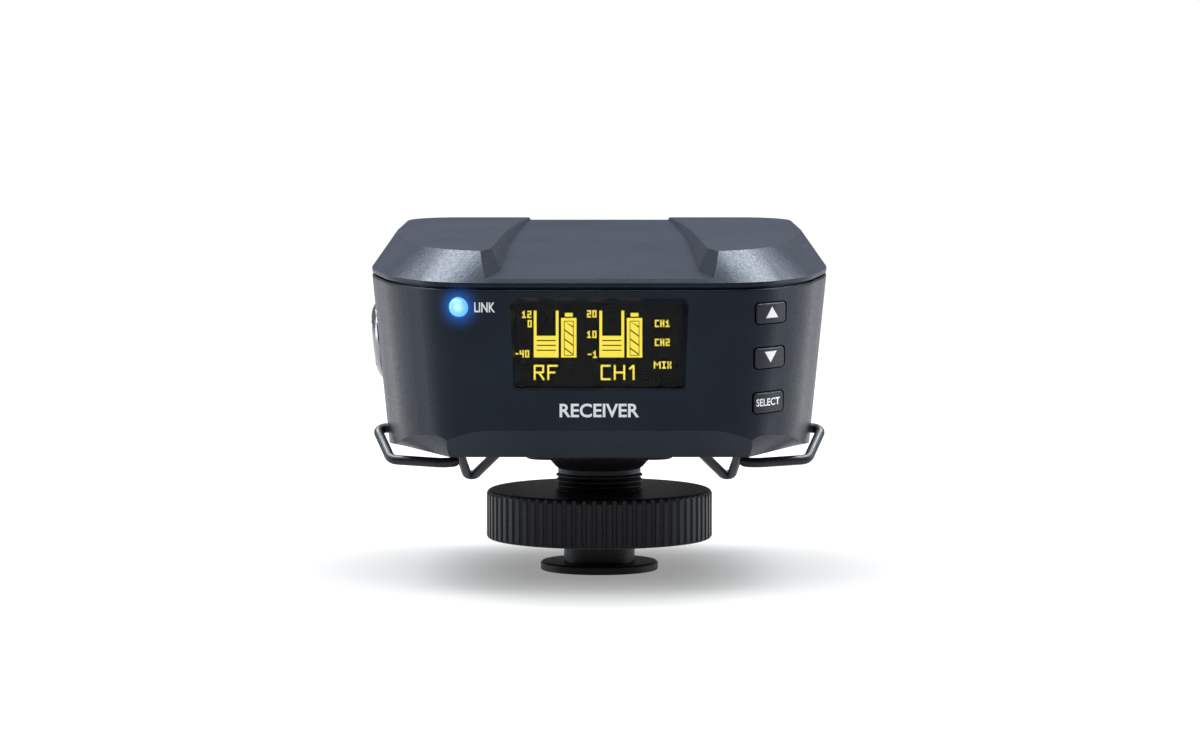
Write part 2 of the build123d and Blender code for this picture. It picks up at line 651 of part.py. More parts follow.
# ---------------------------------------------------------------- sockets and power switch
def usb_socket():
    """Charging socket: a metal shell with a tongue inside."""
    back, mouth = USB_YS
    shell = prism_y(USB_X, USB_Z, USB_W, USB_H, USB_R, back, mouth)
    skin = 2 * USB_SKIN
    room_back = back + USB_BACK_T
    shell -= prism_y(USB_X, USB_Z, USB_W - skin, USB_H - skin, USB_R - USB_SKIN, room_back, mouth + CUT)
    low = (USB_X - USB_TONGUE_W / 2, back + USB_BACK_T / 2, USB_Z - USB_TONGUE_T / 2)
    return shell + block(low, (USB_X + USB_TONGUE_W / 2, mouth - USB_BACK_T, USB_Z + USB_TONGUE_T / 2))


def power_switch_body():
    """Slide switch on the main board; its knob's foot sits in the open rear."""
    back, face = POWER_CASE_YS
    case = block(
        (POWER_X - POWER_CASE_HALF, back, BOARD_TOP),
        (POWER_X + POWER_CASE_HALF, face, BOARD_TOP + POWER_CASE_H),
    )
    return case - block(
        (POWER_X - POWER_ROOM_HALF, back + WALL, POWER_Z - POWER_ROOM_RISE),
        (POWER_X + POWER_ROOM_HALF, face + CUT, POWER_Z + POWER_ROOM_RISE),
    )


def power_slider():
    """Sliding power knob, ribbed across its face; it rests at its left stop."""
    centre = POWER_X - POWER_TRAVEL / 2
    back, face = KNOB_YS
    slider = block(
        (centre - KNOB_W / 2, back, POWER_Z - KNOB_H / 2),
        (centre + KNOB_W / 2, face, POWER_Z + KNOB_H / 2),
    )
    foot_low = (centre - KNOB_FOOT_HALF, KNOB_FOOT_Y, POWER_Z - KNOB_FOOT_RISE)
    slider += block(foot_low, (centre + KNOB_FOOT_HALF, back + OVERLAP, POWER_Z + KNOB_FOOT_RISE))
    for step in (-1, 0, 1):
        x = centre + step * KNOB_RIB_PITCH
        slider -= block(
            (x - KNOB_RIB / 2, face - KNOB_RIB, POWER_Z - KNOB_H),
            (x + KNOB_RIB / 2, face + CUT, POWER_Z + KNOB_H),
        )
    return slider


def output_jack():
    """Socket for a 3.5 mm plug, with a threaded barrel through the left wall."""
    low = (JACK_BODY_XS[0], JACK_Y - JACK_BODY_HALF, BOARD_TOP)
    case = block(low, (JACK_BODY_XS[1], JACK_Y + JACK_BODY_HALF, JACK_Z + JACK_BODY_HALF))
    barrel = jack_rod(-JACK_BARREL_IN, JACK_BARREL_OUT, JACK_BARREL_R)
    bore = jack_rod(JACK_BARREL_OUT - JACK_BORE_DEPTH, JACK_BARREL_OUT + CUT, JACK_BORE_R)
    return barrel + case - bore


def jack_nut():
    """Round bright nut with a domed face, seated in the wall, with a groove next to the wall."""
    middle_r = (JACK_BARREL_R + 2 * JACK_NUT_R) / 3
    dome = ThreePointArc(
        (JACK_NUT_R, JACK_NUT_EDGE), (middle_r, JACK_NUT_MIDDLE), (JACK_BARREL_R, JACK_NUT_TOP)
    )
    groove_r = JACK_NUT_R - JACK_GROOVE
    groove_low, groove_high = JACK_GROOVE_HEIGHTS
    sides = Polyline(
        (JACK_BARREL_R, JACK_NUT_TOP), (JACK_BARREL_R, -JACK_NUT_SINK), (JACK_NUT_R, -JACK_NUT_SINK),
        (JACK_NUT_R, groove_low), (groove_r, groove_low), (groove_r, groove_high),
        (JACK_NUT_R, groove_high), (JACK_NUT_R, JACK_NUT_EDGE),
    )
    nut = revolve(Plane.XZ * make_face(dome + sides), axis=Axis.Z)
    key_ring_r = (JACK_BARREL_R + JACK_NUT_R) / 2
    for key in range(JACK_KEYS):
        turn = 2 * math.pi * (key + 0.5) / JACK_KEYS
        centre = (key_ring_r * math.cos(turn), key_ring_r * math.sin(turn), JACK_NUT_TOP)
        nut -= Pos(*centre) * Cylinder(JACK_KEY_R, 1.5 * JACK_NUT_TOP)
    return jack_plane().location * nut


# ---------------------------------------------------------------- fasteners
def pan_screw(x, y, z_seat, z_end, radius, head_r, head_t, head_up):
    """Cross-slotted screw; its head lies above or below its seat."""
    side = 1 if head_up else -1
    top_z = z_seat + side * head_t
    screw = rod((x, y, z_seat), (x, y, z_end), radius) + rod((x, y, z_seat), (x, y, top_z), head_r)
    arm = head_r * DRIVE_SHARE
    for half_x, half_y in ((arm, DRIVE_SLOT / 2), (DRIVE_SLOT / 2, arm)):
        low = (x - half_x, y - half_y, top_z - head_t / 2)
        screw -= block(low, (x + half_x, y + half_y, top_z + head_t / 2))
    return screw


def housing_screws():
    """Four screws that close the case from below."""
    screws = Part()
    for x, y in CASE_SCREWS:
        screws += pan_screw(x, y, SCREW_SEAT_Z, SCREW_END_Z, SCREW_R, SCREW_HEAD_R, SCREW_HEAD_T, False)
    return screws


def board_screws():
    """Four screws that hold the main board on its bosses."""
    screws = Part()
    for x, y in BOARD_SCREWS:
        screws += pan_screw(
            x, y, BOARD_TOP, BOARD_TOP - BOARD_SCREW_L, BOARD_SCREW_R,
            BOARD_SCREW_HEAD_R, BOARD_SCREW_HEAD_T, True,
        )
    return screws


# ---------------------------------------------------------------- belt clip
def belt_clip():
    """One spring wire: pivot ends in the side walls, two flared tips at the rear."""
    points = [point for point, _ in CLIP_PATH]
    radii = [radius for _, radius in CLIP_PATH[1:]]
    points += [(-x, y, z) for x, y, z in reversed(points)]
    radii += list(reversed(radii))
    route = Wire(FilletPolyline(*points, radius=radii).edges())
    section = Plane(origin=route @ 0, z_dir=route % 0) * Circle(WIRE_R)
    return sweep(section, path=route)


# ---------------------------------------------------------------- shoe post and lock nut
def shoe_post():
    """Shoe foot, neck, fine thread and the spigot that goes up through the case floor."""
    root_r = THREAD_R - THREAD_DEPTH
    profile = [
        (0, 0), (FOOT_R - FOOT_EDGE_LOW, 0), (FOOT_R, FOOT_EDGE_LOW), (FOOT_R, FOOT_T - FOOT_EDGE_HIGH),
        (FOOT_R - FOOT_EDGE_HIGH, FOOT_T), (NECK_R, FOOT_T), (NECK_R, THREAD_LOW),
    ]
    for ring in range(THREAD_RINGS):
        z = THREAD_LOW + ring * THREAD_PITCH
        crest_low, crest_high = z + THREAD_PITCH * CREST[0], z + THREAD_PITCH * CREST[1]
        profile += [(root_r, z), (THREAD_R, crest_low), (THREAD_R, crest_high)]
    profile += [(root_r, THREAD_HIGH), (SPIGOT_R, THREAD_HIGH), (SPIGOT_R, SPIGOT_Z), (0, SPIGOT_Z)]
    return revolve(Plane.XZ * make_face(Polyline(*profile, close=True)), axis=Axis.Z)


def mount_collar():
    """Flared collar between the thread and the case."""
    outline = Polyline((SPIGOT_R, THREAD_HIGH), *COLLAR, (SPIGOT_R, BOTTOM_Z), close=True)
    return revolve(Plane.XZ * make_face(outline), axis=Axis.Z)


def post_nut():
    """Hexagonal nut inside the case that pulls the post up against the floor."""
    low = BOTTOM_Z + WALL
    hexagon = RegularPolygon(radius=POST_NUT_R, side_count=6, major_radius=False)
    nut = extrude(Pos(0, 0, low) * hexagon, amount=POST_NUT_T)
    return nut - rod((0, 0, low - CUT), (0, 0, low + POST_NUT_T + CUT), SPIGOT_R)


def lock_nut():
    """Ribbed thumb wheel that runs on the thread and clamps down on the shoe."""
    disc = rod((0, 0, NUT_LOW), (0, 0, NUT_HIGH), NUT_R)
    disc = fillet(disc.edges().group_by(Axis.Z)[-1], NUT_EDGE_HIGH)
    disc = fillet(disc.edges().group_by(Axis.Z)[0], NUT_EDGE_LOW)
    grooves = Part()
    centre_r = NUT_R + GROOVE_OUT
    for rib in range(RIBS):
        turn = 2 * math.pi * rib / RIBS
        x, y = centre_r * math.cos(turn), centre_r * math.sin(turn)
        grooves += rod((x, y, NUT_LOW - CUT), (x, y, NUT_HIGH + CUT), GROOVE_R)
    nut = disc - grooves
    nut -= rod((0, 0, NUT_LOW - CUT), (0, 0, NUT_HIGH + CUT), THREAD_R + RUNNING)
    return nut - rod((0, 0, NUT_LOW - CUT), (0, 0, NUT_LOW + WASHER_T + RUNNING), WASHER_R + RUNNING)


def pressure_washer():
    """Washer in the lock nut's underside that bears on the shoe without turning."""
    washer = rod((0, 0, NUT_LOW), (0, 0, NUT_LOW + WASHER_T), WASHER_R)
    return washer - rod((0, 0, NUT_LOW - CUT), (0, 0, NUT_HIGH), NECK_R + RUNNING)


# ---------------------------------------------------------------- write the parts
PARTS = {
    "top_cover": top_cover(),
    "lower_housing": lower_housing(),
    "display_window": display_window(),
    "display_panel": display_panel(),
    "display_holder": display_holder(),
    "display_flex": display_flex(),
    "pair_led": pair_led(),
    "tact_switches": tact_switches(),
    "front_board": front_board(),
    "main_board": main_board(),
    "board_connector": board_connector(),
    "rf_shield": rf_shield(),
    "antenna_right": antenna(),
    "antenna_left": mirror(antenna(), about=Plane.YZ),
    "battery": battery(),
    "battery_pad": battery_pad(),
    "usb_socket": usb_socket(),
    "power_switch_body": power_switch_body(),
    "power_slider": power_slider(),
    "output_jack": output_jack(),
    "jack_nut": jack_nut(),
    "housing_screws": housing_screws(),
    "board_screws": board_screws(),
    "belt_clip": belt_clip(),
    "shoe_post": shoe_post(),
    "mount_collar": mount_collar(),
    "post_nut": post_nut(),
    "lock_nut": lock_nut(),
    "pressure_washer": pressure_washer(),
}
for name, (x, z) in BUTTONS.items():
    PARTS[name] = button(x, z)

for name, shape in PARTS.items():
    export_step(shape, f"parts/{name}.step")
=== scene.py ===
"""Looks of the camera-mount wireless receiver: materials, display, print, lights and camera.

Metres, in the CAD's frame: the origin is under the shoe foot, +Z is up and -Y is the front.
"""
import json

import bmesh
import bpy
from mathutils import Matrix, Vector
from mathutils.bvhtree import BVHTree


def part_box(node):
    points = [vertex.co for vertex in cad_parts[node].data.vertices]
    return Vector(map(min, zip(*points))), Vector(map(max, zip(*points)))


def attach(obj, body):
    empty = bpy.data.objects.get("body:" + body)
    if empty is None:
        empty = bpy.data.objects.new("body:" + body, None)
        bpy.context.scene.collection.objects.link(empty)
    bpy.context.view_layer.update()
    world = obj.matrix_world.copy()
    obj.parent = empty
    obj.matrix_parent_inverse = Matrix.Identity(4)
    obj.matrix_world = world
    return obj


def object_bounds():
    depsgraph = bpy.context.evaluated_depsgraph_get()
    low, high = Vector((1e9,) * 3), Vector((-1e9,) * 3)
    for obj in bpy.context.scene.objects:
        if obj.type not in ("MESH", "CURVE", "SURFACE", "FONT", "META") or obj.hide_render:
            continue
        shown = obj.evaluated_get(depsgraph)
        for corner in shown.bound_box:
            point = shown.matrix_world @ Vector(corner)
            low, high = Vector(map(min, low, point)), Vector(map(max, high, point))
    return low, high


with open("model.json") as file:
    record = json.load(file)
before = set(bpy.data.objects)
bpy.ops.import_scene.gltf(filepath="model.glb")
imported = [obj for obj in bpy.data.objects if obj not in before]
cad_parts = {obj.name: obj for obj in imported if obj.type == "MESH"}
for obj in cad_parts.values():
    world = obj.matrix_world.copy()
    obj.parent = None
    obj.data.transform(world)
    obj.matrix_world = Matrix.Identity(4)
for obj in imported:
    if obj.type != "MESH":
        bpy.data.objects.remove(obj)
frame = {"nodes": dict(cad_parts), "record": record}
cad_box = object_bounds()
MM = 0.001


# ---------------------------------------------------------------- camera and lights
CAMERA_PLACE = (0.0001, -1.150, 0.1325)
CAMERA_AIM = (0.0001, 0.0, 0.0302)
LENS, SENSOR_WIDTH = 223.4, 36.0  # millimetres, as Blender's camera takes them
CLIP_NEAR, CLIP_FAR = 0.05, 30.0
LIGHTS_AIM = (0.0, 0.0, 0.035)  # inside the case


def add_object(name, data):
    """An object in the scene's own collection."""
    thing = bpy.data.objects.new(name, data)
    bpy.context.scene.collection.objects.link(thing)
    return thing


def turn_to(thing, aim):
    """Turns a camera or a light to face a point."""
    thing.rotation_mode = "QUATERNION"
    thing.rotation_quaternion = (Vector(aim) - thing.location).to_track_quat("-Z", "Y")


def make_camera():
    """Long lens in front of the object, looking slightly down at it."""
    data = bpy.data.cameras.new("camera")
    data.sensor_width = SENSOR_WIDTH
    data.lens = LENS
    data.clip_start, data.clip_end = CLIP_NEAR, CLIP_FAR
    camera = add_object("camera", data)
    camera.location = CAMERA_PLACE
    turn_to(camera, CAMERA_AIM)
    bpy.context.scene.camera = camera


def area_light(name, place, size, power, color):
    """Rectangular soft box that faces the case; power is in watts."""
    data = bpy.data.lights.new(name, "AREA")
    data.shape = "RECTANGLE"
    data.size, data.size_y = size
    data.energy = power
    data.color = color
    light = add_object(name, data)
    light.location = place
    turn_to(light, LIGHTS_AIM)


def make_lights():
    """Soft box overhead, two high ones behind and to the sides, and a tall strip on each side."""
    area_light(
        "overhead", place=(0.0, -0.16, 0.50), size=(0.40, 0.18), power=2.2, color=(0.94, 0.97, 1.0)
    )
    for side in (-1, 1):
        area_light(
            f"high_box_{side + 1}",
            place=(side * 0.24, 0.15, 0.45), size=(0.28, 0.28), power=6.0, color=(0.92, 0.96, 1.0),
        )
    for side, name in ((-1, "left_strip"), (1, "right_strip")):
        area_light(
            name,
            place=(side * 0.52, 0.16, 0.20), size=(0.14, 0.50), power=1.2, color=(0.80, 0.90, 1.0),
        )


def make_world():
    """Surroundings that are nearly dark in front of the object and brighter behind it."""
    world = bpy.data.worlds.new("studio")
    bpy.context.scene.world = world
    world.use_nodes = True
    tree = world.node_tree
    background = tree.nodes["Background"]
    background.inputs["Color"].default_value = (1.0, 1.0, 1.0, 1.0)
    coords = tree.nodes.new("ShaderNodeTexCoord")
    split = tree.nodes.new("ShaderNodeSeparateXYZ")
    tree.links.new(coords.outputs["Generated"], split.inputs[0])
    strength = map_range(tree, split.outputs["Y"], source=(-0.2, 0.85), target=(0.02, 0.26))
    tree.links.new(strength, background.inputs["Strength"])


# ---------------------------------------------------------------- node helpers
def map_range(tree, value, source, target, smooth=False):
    """Maps a value from one range to another, held at the ends; each range is a pair."""
    node = tree.nodes.new("ShaderNodeMapRange")
    if smooth:
        node.interpolation_type = "SMOOTHSTEP"
    for end, source_end, target_end in zip(("Min", "Max"), source, target):
        node.inputs[f"From {end}"].default_value = source_end
        node.inputs[f"To {end}"].default_value = target_end
    tree.links.new(value, node.inputs["Value"])
    return node.outputs["Result"]


def calculate(tree, operation, value, number):
    """A value combined with a plain number."""
    node = tree.nodes.new("ShaderNodeMath")
    node.operation = operation
    node.inputs[1].default_value = number
    tree.links.new(value, node.inputs[0])
    return node.outputs["Value"]


def distance_from(tree, place):
    """Distance from a place, in the object's own space."""
    coords = tree.nodes.new("ShaderNodeTexCoord")
    node = tree.nodes.new("ShaderNodeVectorMath")
    node.operation = "DISTANCE"
    node.inputs[1].default_value = place
    tree.links.new(coords.outputs["Object"], node.inputs[0])
    return node.outputs["Value"]


def color_ramp(tree, factor, stops):
    """Colour by factor; each stop is a position and a colour, in rising order."""
    node = tree.nodes.new("ShaderNodeValToRGB")
    elements = node.color_ramp.elements
    elements[0].position, elements[1].position = stops[0][0], stops[-1][0]
    for position, _ in stops[1:-1]:
        elements.new(position)
    for element, (_, color) in zip(elements, stops):
        element.color = (*color, 1.0)
    tree.links.new(factor, node.inputs["Fac"])
    return node.outputs["Color"]


# ---------------------------------------------------------------- material helpers
NOISE_SPAN = (0.3, 0.7)  # most of the noise falls between these


def new_material(name, settings):
    """A material with values set on its Principled shader, by socket; a triple is a colour."""
    material = bpy.data.materials.new(name)
    material.use_nodes = True
    inputs = material.node_tree.nodes["Principled BSDF"].inputs
    for socket, value in settings.items():
        inputs[socket].default_value = (*value, 1.0) if isinstance(value, tuple) else value
    return material


def feed(material, output, socket):
    """Links an output to one of the Principled shader's sockets."""
    tree = material.node_tree
    tree.links.new(output, tree.nodes["Principled BSDF"].inputs[socket])


def add_noise(material, scale, detail=2.0, stretch=(1.0, 1.0, 1.0)):
    """Noise in the object's own space; scale is in features per metre."""
    nodes, links = material.node_tree.nodes, material.node_tree.links
    coords = nodes.new("ShaderNodeTexCoord")
    mapping = nodes.new("ShaderNodeMapping")
    mapping.inputs["Scale"].default_value = stretch
    noise = nodes.new("ShaderNodeTexNoise")
    noise.inputs["Scale"].default_value = scale
    noise.inputs["Detail"].default_value = detail
    links.new(coords.outputs["Object"], mapping.inputs["Vector"])
    links.new(mapping.outputs["Vector"], noise.inputs["Vector"])
    return noise.outputs["Fac"]


def roughen(material, noise, low, high):
    """Roughness that follows a noise between two values."""
    feed(material, map_range(material.node_tree, noise, NOISE_SPAN, (low, high)), "Roughness")


def tint(material, noise, dark, pale):
    """Base colour that follows a noise between two shades."""
    low, high = NOISE_SPAN
    color = color_ramp(material.node_tree, noise, [(low, dark), (high, pale)])
    feed(material, color, "Base Color")


def bump(material, layers):
    """Stacks bumps; each layer is a noise and its depth in metres."""
    tree = material.node_tree
    normal = None
    for height, depth in layers:
        node = tree.nodes.new("ShaderNodeBump")
        node.inputs["Strength"].default_value = 1.0
        node.inputs["Distance"].default_value = depth
        tree.links.new(height, node.inputs["Height"])
        if normal is not None:
            tree.links.new(normal, node.inputs["Normal"])
        normal = node.outputs["Normal"]
    feed(material, normal, "Normal")


# ---------------------------------------------------------------- materials
# Slots with a plain look: colour and middle roughness.
PLAIN_PLASTICS = {
    "print_white": ((0.80, 0.83, 0.86), 0.5),
    "jack_plastic": ((0.016, 0.016, 0.018), 0.45),
    "washer_plastic": ((0.022, 0.022, 0.025), 0.5),
    "board_green": ((0.015, 0.10, 0.05), 0.4),
    "cell_wrap": ((0.20, 0.25, 0.32), 0.3),
    "foam": ((0.03, 0.03, 0.03), 0.9),
    "flex_amber": ((0.42, 0.20, 0.03), 0.3),
}
METALS = {
    "tin": ((0.60, 0.60, 0.60), 0.3),
    "screw_black": ((0.05, 0.05, 0.055), 0.4),
    "brass": ((0.75, 0.56, 0.26), 0.28),
}


def case_plastic():
    """Blue-black moulded plastic with a fine spark-eroded grain, and a painted blue glow round the status
    light.
    """
    material = new_material("case_plastic", {
        "Specular IOR Level": 0.17,
        "Specular Tint": (0.72, 0.86, 1.0),
        # Emission Color: colour of the painted glow that stands in for the status light's light on the
        # case
        "Emission Color": (0.01, 0.08, 0.36),
    })
    grain = add_noise(material, scale=2300.0, detail=3.0)
    cloud = add_noise(material, scale=90.0, detail=3.0)
    tint(material, cloud, dark=(0.006, 0.009, 0.016), pale=(0.009, 0.013, 0.022))
    roughen(material, grain, low=0.32, high=0.46)
    bump(material, [(grain, 0.03 * MM)])
    # painted glow: emission round the status light that stands in for its light falling on the case
    feed(material, painted_glow_falloff(material, near=1.5 * MM, far=4.6 * MM), "Emission Strength")
    return material


def button_plastic():
    """Smoother satin plastic of the keys."""
    material = new_material("button_plastic", {
        "Base Color": (0.012, 0.014, 0.020), "Specular IOR Level": 0.25,
    })
    grain = add_noise(material, scale=7000.0, detail=1.0)
    roughen(material, grain, low=0.38, high=0.48)
    bump(material, [(grain, 0.008 * MM)])
    return material


def black_anodised():
    """Black anodised metal with faint turning marks."""
    material = new_material("black_anodised", {"Metallic": 0.1, "Specular IOR Level": 0.3})
    turning = add_noise(material, scale=900.0, stretch=(0.4, 0.4, 6.0))
    speck = add_noise(material, scale=5000.0, detail=1.0)
    roughen(material, speck, low=0.36, high=0.50)
    tint(material, turning, dark=(0.006, 0.007, 0.009), pale=(0.010, 0.011, 0.014))
    bump(material, [(speck, 0.006 * MM), (turning, 0.004 * MM)])
    return material


def clip_wire():
    """Blackened spring wire with faint draw marks."""
    material = new_material("clip_wire", {"Metallic": 0.1, "Specular IOR Level": 0.3})
    draw = add_noise(material, scale=1500.0, stretch=(1.0, 0.15, 1.0))
    tint(material, draw, dark=(0.006, 0.007, 0.009), pale=(0.016, 0.018, 0.022))
    roughen(material, draw, low=0.34, high=0.50)
    bump(material, [(draw, 0.006 * MM)])
    return material


def chrome():
    """Bright plated metal with a faint polish haze."""
    material = new_material("chrome", {"Base Color": (0.24, 0.24, 0.25), "Metallic": 1.0})
    haze = add_noise(material, scale=1200.0, detail=3.0)
    roughen(material, haze, low=0.16, high=0.28)
    bump(material, [(haze, 0.002 * MM)])
    return material


def plain_plastic(name, color, roughness):
    """Plastic, paint, board, foam or film with a light grain."""
    material = new_material(name, {"Base Color": color})
    grain = add_noise(material, scale=4000.0)
    roughen(material, grain, low=roughness - 0.06, high=roughness + 0.06)
    bump(material, [(grain, 0.006 * MM)])
    return material


def metal(name, color, roughness):
    """Plain metal with a brushed grain."""
    material = new_material(name, {"Base Color": color, "Metallic": 1.0})
    grain = add_noise(material, scale=2500.0, stretch=(1.0, 8.0, 1.0))
    roughen(material, grain, low=roughness - 0.06, high=roughness + 0.08)
    bump(material, [(grain, 0.004 * MM)])
    return material


def window_glass():
    """Clear plate over the display."""
    material = new_material("window", {
        "Base Color": (0.85, 0.86, 0.88), "Transmission Weight": 1.0, "IOR": 1.12,
    })
    roughen(material, add_noise(material, scale=600.0), low=0.02, high=0.04)
    return material


def display_black():
    """Unlit face of the display module."""
    material = new_material("display_black", {
        "Base Color": (0.002, 0.002, 0.0025), "Specular IOR Level": 0.1,
    })
    roughen(material, add_noise(material, scale=300.0), low=0.20, high=0.30)
    return material


def display_glow():
    """Lit yellow dots of the display."""
    return new_material("display_glow", {
        "Base Color": (0.3, 0.25, 0.04), "Roughness": 0.35,
        "Emission Color": (1.0, 0.80, 0.06), "Emission Strength": 1.0,
    })


def light_centre():
    """Middle of the status light's dome, a fixed step in from the least corner of its box."""
    low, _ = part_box("pair_led")
    step_x, step_y, step_z = 1.45 * MM, 1.5 * MM, 1.9 * MM
    return Vector((low.x + step_x, low.y + step_y, low.z + step_z))


def painted_glow_falloff(material, near, far):
    """Factor for the painted glow on the case, falling, steeply at first, from one to zero between two
    distances from the light.
    """
    tree = material.node_tree
    share = map_range(tree, distance_from(tree, light_centre()), source=(near, far), target=(1.0, 0.0))
    steepness = 3.0
    return calculate(tree, "POWER", share, steepness)


def status_light():
    """Lit blue dome: pale in the middle of the lens, deeper blue round the rim."""
    material = new_material("status_light", {
        "Base Color": (0.15, 0.40, 0.95), "Roughness": 0.16, "Emission Strength": 1.0,
    })
    tree = material.node_tree
    pale_middle = light_centre() + Vector((-0.1, -1.5, 0.1)) * MM
    reach = 2.1 * MM
    share = calculate(tree, "MULTIPLY", distance_from(tree, pale_middle), 1.0 / reach)
    stops = [(0.0, (0.55, 0.78, 1.0)), (0.5, (0.08, 0.32, 0.95)), (1.0, (0.06, 0.28, 0.95))]
    feed(material, color_ramp(tree, share, stops), "Emission Color")
    return material


def make_materials():
    """Every material by the record's slot name."""
    materials = {
        "case_plastic": case_plastic(),
        "button_plastic": button_plastic(),
        "window": window_glass(),
        "display_black": display_black(),
        "display_glow": display_glow(),
        "status_light": status_light(),
        "chrome": chrome(),
        "clip_wire": clip_wire(),
        "black_anodised": black_anodised(),
    }
    for name, (color, roughness) in PLAIN_PLASTICS.items():
        materials[name] = plain_plastic(name, color, roughness)
    for name, (color, roughness) in METALS.items():
        materials[name] = metal(name, color, roughness)
    return materials


def dress_cad(materials):
    """Gives each CAD node the material of its record slot."""
    for entry in frame["record"]["subparts"]:
        node = frame["nodes"][entry["node"]]
        for slot in node.material_slots:
            slot.material = materials[entry["material_slot"]]


# ---------------------------------------------------------------- display
# A grid of 128 by 64 dots. In this section a size or place without MM is in dots, right and down
# from the display's top left corner. A bar is (left, top, right, bottom), a quad is four corners.
COLUMNS, ROWS = 128, 64

# Small characters, row by row: 3 dots wide, or 5 for the M, and 5 high.
GLYPHS = {
    "0": "111 101 101 101 111", "1": "010 110 010 010 111", "2": "111 001 111 100 111",
    "4": "101 101 111 001 001", "-": "000 000 111 000 000", "C": "111 100 100 100 111",
    "H": "101 101 111 101 101", "M": "10001 11011 10101 10001 10001", "I": "111 010 010 010 111",
    "X": "101 101 010 101 101",
}
GLYPH_DOT_WIDE, GLYPH_DOT_TALL = 1.05, 1.1
GLYPH_GAP = 0.9  # in the width of a character's dot

# Large characters, stroke by stroke, in a unit square with its top left corner at the origin.
BIG_GLYPHS = {
    "R": [
        ((0, 0), (0, 1)), ((0, 0.05), (0.85, 0.05)), ((0.9, 0), (0.9, 0.52)), ((0, 0.5), (0.9, 0.5)),
        ((0.45, 0.5), (1, 1)),
    ],
    "F": [((0, 0), (0, 1)), ((0, 0.05), (1, 0.05)), ((0, 0.5), (0.75, 0.5))],
    "C": [((0.05, 0.05), (0.05, 0.95)), ((0, 0.05), (1, 0.05)), ((0, 0.95), (1, 0.95))],
    "H": [((0, 0), (0, 1)), ((1, 0), (1, 1)), ((0, 0.5), (1, 0.5))],
    "1": [((0.55, 0), (0.55, 1)), ((0.1, 0.28), (0.55, 0.02))],
}
BIG_WIDE, BIG_TALL, BIG_GAP, BIG_PEN = 7.2, 11.2, 3.2, 1.5

# Each small or large text, with the column and row of its top left corner.
SMALL_TEXTS = [
    ("12", 4.9, 6.4), ("0", 9.3, 13.4), ("-40", -0.9, 36.0),
    ("20", 54.6, 6.0), ("10", 54.6, 21.4), ("-1", 55.0, 36.4),
    ("CH1", 106.4, 13.2), ("CH2", 106.4, 27.4), ("MIX", 105.6, 44.4),
]
BIG_TEXTS = [("RF", 14.6, 47.2), ("CH1", 65.4, 47.2)]

# The two channels, each a level meter and a battery icon side by side.
METER_LEFTS, CELL_LEFTS = (13.9, 64.0), (34.8, 85.0)
METER_TOP, CELL_TOP, CHANNEL_BOTTOM = 6.3, 8.0, 41.5
METER_WIDE, METER_POST = 19.0, 2.2
METER_LEVELS = (25.2, 28.8, 32.4, 36.1)  # tops of the filled bars
METER_GAP = 0.8
CELL_WIDE, CELL_RIM = 11.8, 2.2


def glyph_bars(text, left, top):
    """Bars of a line of small characters."""
    bars = []
    for character in text:
        rows = GLYPHS[character].split()
        for row, bits in enumerate(rows):
            for column, bit in enumerate(bits):
                if bit == "1":
                    x, y = left + column * GLYPH_DOT_WIDE, top + row * GLYPH_DOT_TALL
                    bars.append((x, y, x + GLYPH_DOT_WIDE, y + GLYPH_DOT_TALL))
        left += (len(rows[0]) + GLYPH_GAP) * GLYPH_DOT_WIDE
    return bars


def stroke(start, end):
    """Quad of one straight stroke of a large character."""
    start, end = Vector(start), Vector(end)
    run = end - start
    side = Vector((-run.y, run.x)).normalized() * BIG_PEN / 2
    return [start + side, end + side, end - side, start - side]


def big_quads(text, left, top):
    """Quads of a line of large characters."""
    quads = []
    for character in text:
        for ends in BIG_GLYPHS[character]:
            start, end = [(left + x * BIG_WIDE, top + y * BIG_TALL) for x, y in ends]
            quads.append(stroke(start, end))
        left += BIG_WIDE + BIG_GAP
    return quads


def meter(left):
    """Bars of a level meter: two uprights joined by filled bars with dark gaps between them."""
    right = left + METER_WIDE
    inner_left, inner_right = left + METER_POST, right - METER_POST
    bars = [
        (left, METER_TOP, inner_left, CHANNEL_BOTTOM),
        (inner_right, METER_TOP, right, CHANNEL_BOTTOM),
    ]
    tops = [METER_LEVELS[0]] + [level + METER_GAP / 2 for level in METER_LEVELS[1:]]
    bottoms = [level - METER_GAP / 2 for level in METER_LEVELS[1:]] + [CHANNEL_BOTTOM]
    bars += [(inner_left, top, inner_right, bottom) for top, bottom in zip(tops, bottoms)]
    return bars


def cell_frame(left):
    """Bars of a battery icon: the cap, the shoulder, the two walls and the base."""
    right, top, bottom = left + CELL_WIDE, CELL_TOP, CHANNEL_BOTTOM
    cap_inset, cap_tall = 2.9, 2.8
    shoulder_top, shoulder_bottom = top + 3.8, top + 6.0
    wall_top = top + 4.0
    base_tall = 1.3
    return [
        (left + cap_inset, top, right - cap_inset, top + cap_tall),
        (left, wall_top, left + CELL_RIM, bottom),
        (right - CELL_RIM, wall_top, right, bottom),
        (left, shoulder_top, right, shoulder_bottom),
        (left, bottom - base_tall, right, bottom),
    ]


def cell_stripes(left):
    """Quads of the slanting stripes inside a battery icon, cut off at its top and bottom."""
    gap = 0.5
    inner_left, inner_right = left + CELL_RIM + gap, left + CELL_WIDE - CELL_RIM - gap
    top_margin, bottom_margin = 6.5, 1.8
    low, high = CELL_TOP + top_margin, CHANNEL_BOTTOM - bottom_margin
    pitch, slant, thick = 6.9, 4.6, 5.8
    least_sides = 0.3  # the two upright sides together; less than this is too small to see
    quads = []
    for index in range(-1, 5):
        y = low + index * pitch
        corners = [
            (inner_left, y), (inner_right, y + slant),
            (inner_right, y + slant + thick), (inner_left, y + thick),
        ]
        quad = [Vector((x, min(max(row, low), high))) for x, row in corners]
        if quad[3].y - quad[0].y + quad[2].y - quad[1].y > least_sides:
            quads.append(quad)
    return quads


